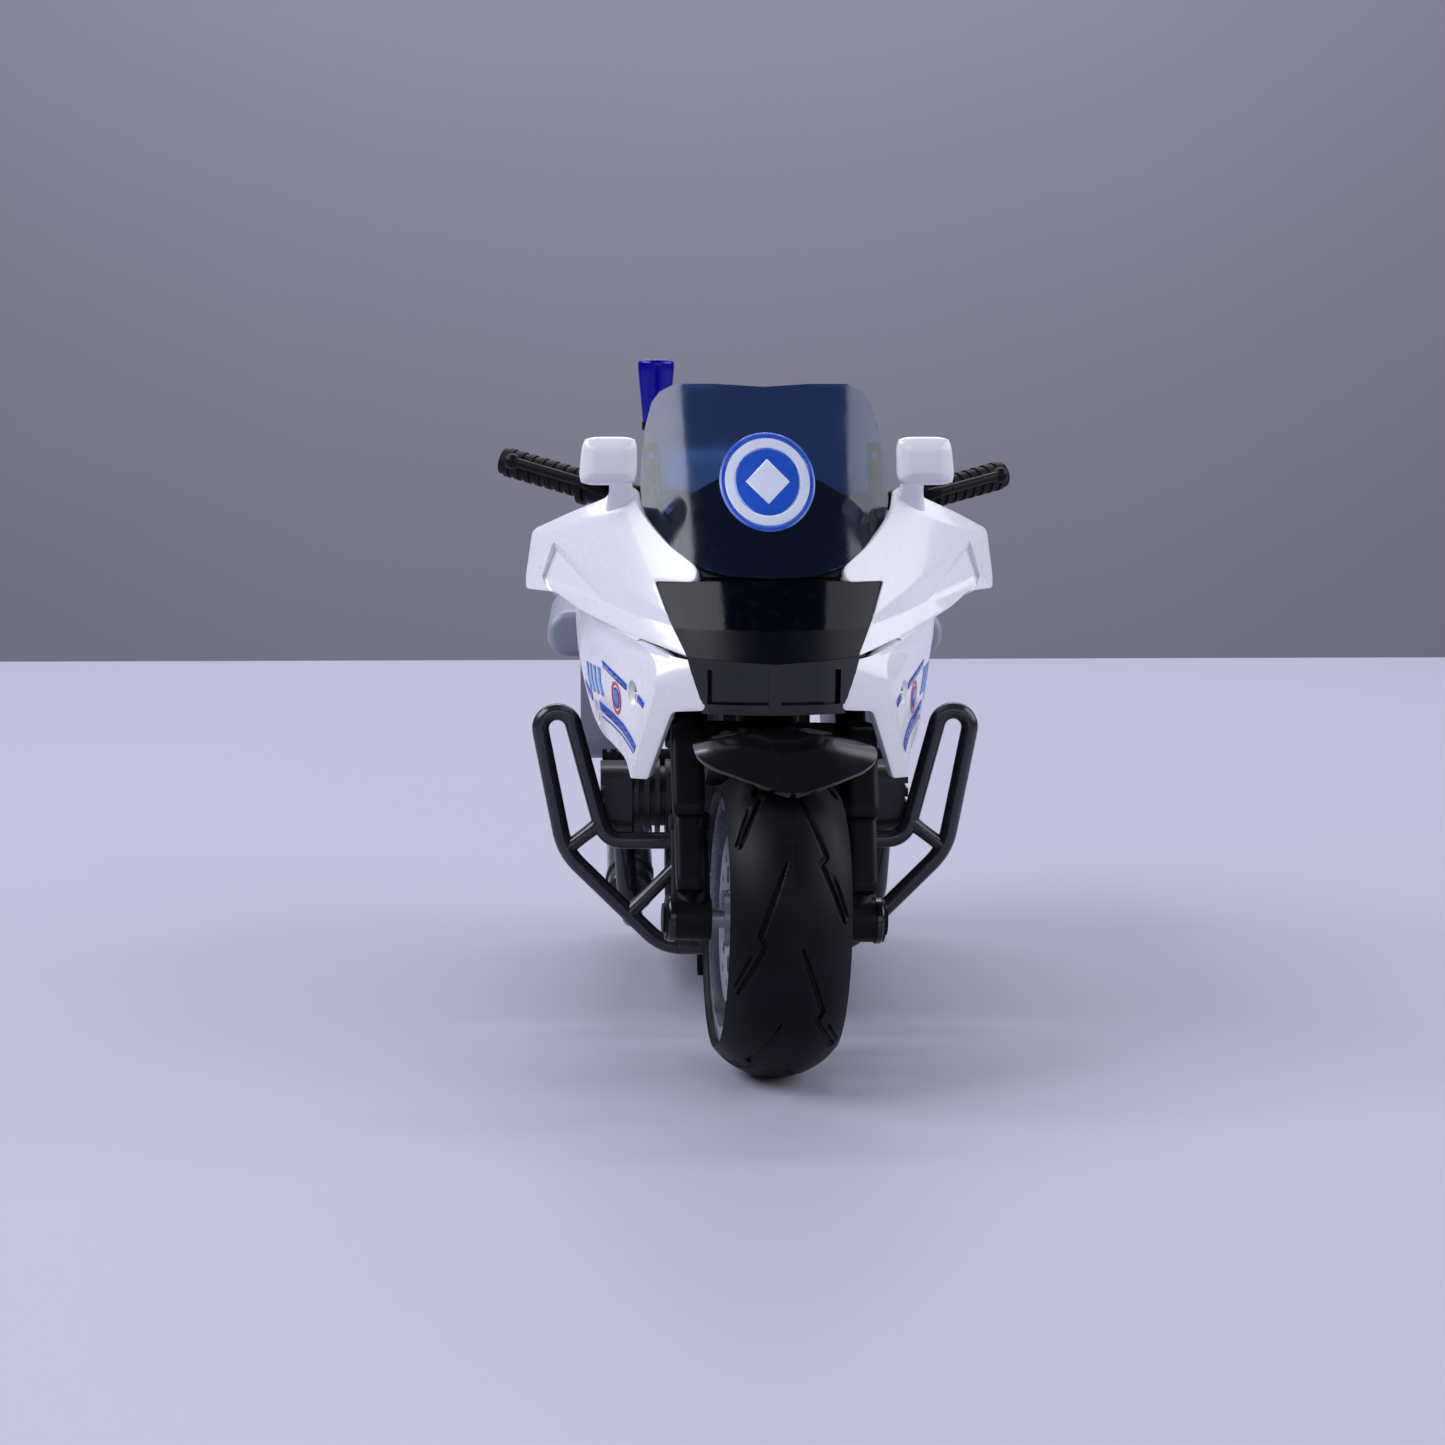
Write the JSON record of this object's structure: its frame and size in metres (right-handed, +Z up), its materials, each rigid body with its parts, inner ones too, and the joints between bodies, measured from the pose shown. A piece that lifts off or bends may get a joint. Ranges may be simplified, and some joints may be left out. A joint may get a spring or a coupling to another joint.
{
  "type": "pull-back toy motorcycle",
  "caption": "Toy police touring motorcycle with steering fork, geared pull-back motor, fairing, side cases, roll bars, beacon and folding centre stand.",
  "frame": {"origin": "centre of the bounding box's footprint, on the floor the wheels stand on", "axes": "-Y is the way the toy rides, +X its own left side, +Z up"},
  "size_m": [0.0886, 0.1772, 0.1156],
  "materials": {
    "white_shell": "gloss moulded",
    "black_plastic": "satin moulded",
    "black_gloss": "polished",
    "gunmetal": "metallic satin",
    "engine_grey": "metallic satin",
    "rubber_tyre": "matt",
    "rim_silver": "metallised",
    "steel": "brushed",
    "chrome": "polished",
    "smoked_screen": "polished smoked",
    "lens_dark": "polished smoked",
    "reflector": "metallised",
    "mirror": "polished",
    "lamp_blue": "clear tinted",
    "lamp_red": "clear tinted",
    "gear_white": "moulded",
    "spring_steel": "blued",
    "seat_black": "grained",
    "grip_rubber": "ribbed matt"
  },
  "bodies": {
    "chassis": {"frame_chassis": "black_plastic", "gear_plate": "black_plastic", "gear_cover": "black_plastic", "swingarm_right": "black_plastic", "motor_case_left": "engine_grey", "motor_case_right": "engine_grey", "mainspring": "spring_steel", "engine_block": "engine_grey", "cylinder_left": "engine_grey", "cylinder_right": "engine_grey", "engine_cover_left": "engine_grey", "engine_cover_right": "engine_grey", "stand_pin": "steel", "fairing_upper_left": "white_shell", "fairing_upper_right": "white_shell", "mirror_glass": "mirror", "fairing_side_left": "white_shell", "fairing_side_right": "white_shell", "body_screws": "chrome", "headlight_lens": "lens_dark", "headlight_reflector": "reflector", "nose_grille": "black_plastic", "windscreen": "smoked_screen", "cockpit_cowl": "black_plastic", "fuel_tank": "white_shell", "seat": "seat_black", "tail_cowl": "white_shell", "tail_lamp": "lamp_red", "radio_box": "white_shell", "rear_fender": "black_plastic", "pannier_left": "white_shell", "pannier_right": "white_shell", "lamp_pole": "black_plastic", "beacon_lens": "lamp_blue", "crash_bar_left": "gunmetal", "crash_bar_right": "gunmetal", "exhaust_headers": "gunmetal", "muffler_left": "gunmetal", "muffler_right": "gunmetal", "footrests": "black_plastic"},
    "steering": {"fork_leg_left": "black_plastic", "fork_leg_right": "black_plastic", "triple_clamp": "black_plastic", "front_fender": "black_gloss", "handlebar": "black_plastic", "grip_left": "grip_rubber", "grip_right": "grip_rubber", "lever_left": "black_plastic", "lever_right": "black_plastic"},
    "front_wheel": {"front_tyre": "rubber_tyre", "front_rim": "rim_silver", "front_discs": "steel", "front_axle": "steel"},
    "rear_wheel": {"rear_tyre": "rubber_tyre", "rear_rim": "rim_silver", "rear_axle": "steel", "axle_gear": "gear_white"},
    "idler": {"idler_gear": "gear_white"},
    "barrel": {"barrel_gear": "gear_white"},
    "stand": {"centre_stand": "black_plastic"}
  },
  "joints": [
    {"name": "steering_turn", "type": "hinge", "parent": "chassis", "child": "steering", "pos_m": [0, -0.06063, 0.02398], "axis": [0, 0.4226, 0.9063], "range_deg": [-20, 12]},
    {"name": "front_wheel_spin", "type": "hinge", "parent": "steering", "child": "front_wheel", "pos_m": [0.00021, -0.06334, 0.02525], "axis": [0.9976, 0.0632, -0.0295], "continuous": true},
    {"name": "rear_wheel_spin", "type": "hinge", "parent": "chassis", "child": "rear_wheel", "pos_m": [0, 0.05865, 0.02525], "axis": [1, 0, 0], "continuous": true},
    {"name": "idler_spin", "type": "hinge", "parent": "chassis", "child": "idler", "pos_m": [0.0132, 0.04374, 0.02525], "axis": [1, 0, 0], "continuous": true},
    {"name": "barrel_spin", "type": "hinge", "parent": "chassis", "child": "barrel", "pos_m": [0.0132, 0.02168, 0.02525], "axis": [1, 0, 0], "continuous": true},
    {"name": "stand_fold", "type": "hinge", "parent": "chassis", "child": "stand", "pos_m": [0, 0.02355, 0.01], "axis": [1, 0, 0], "range_deg": [0, 85]}
  ],
  "couplings": [
    {"joint": "idler_spin", "follows": "rear_wheel_spin", "ratio": -0.35},
    {"joint": "barrel_spin", "follows": "rear_wheel_spin", "ratio": 0.35}
  ]
}
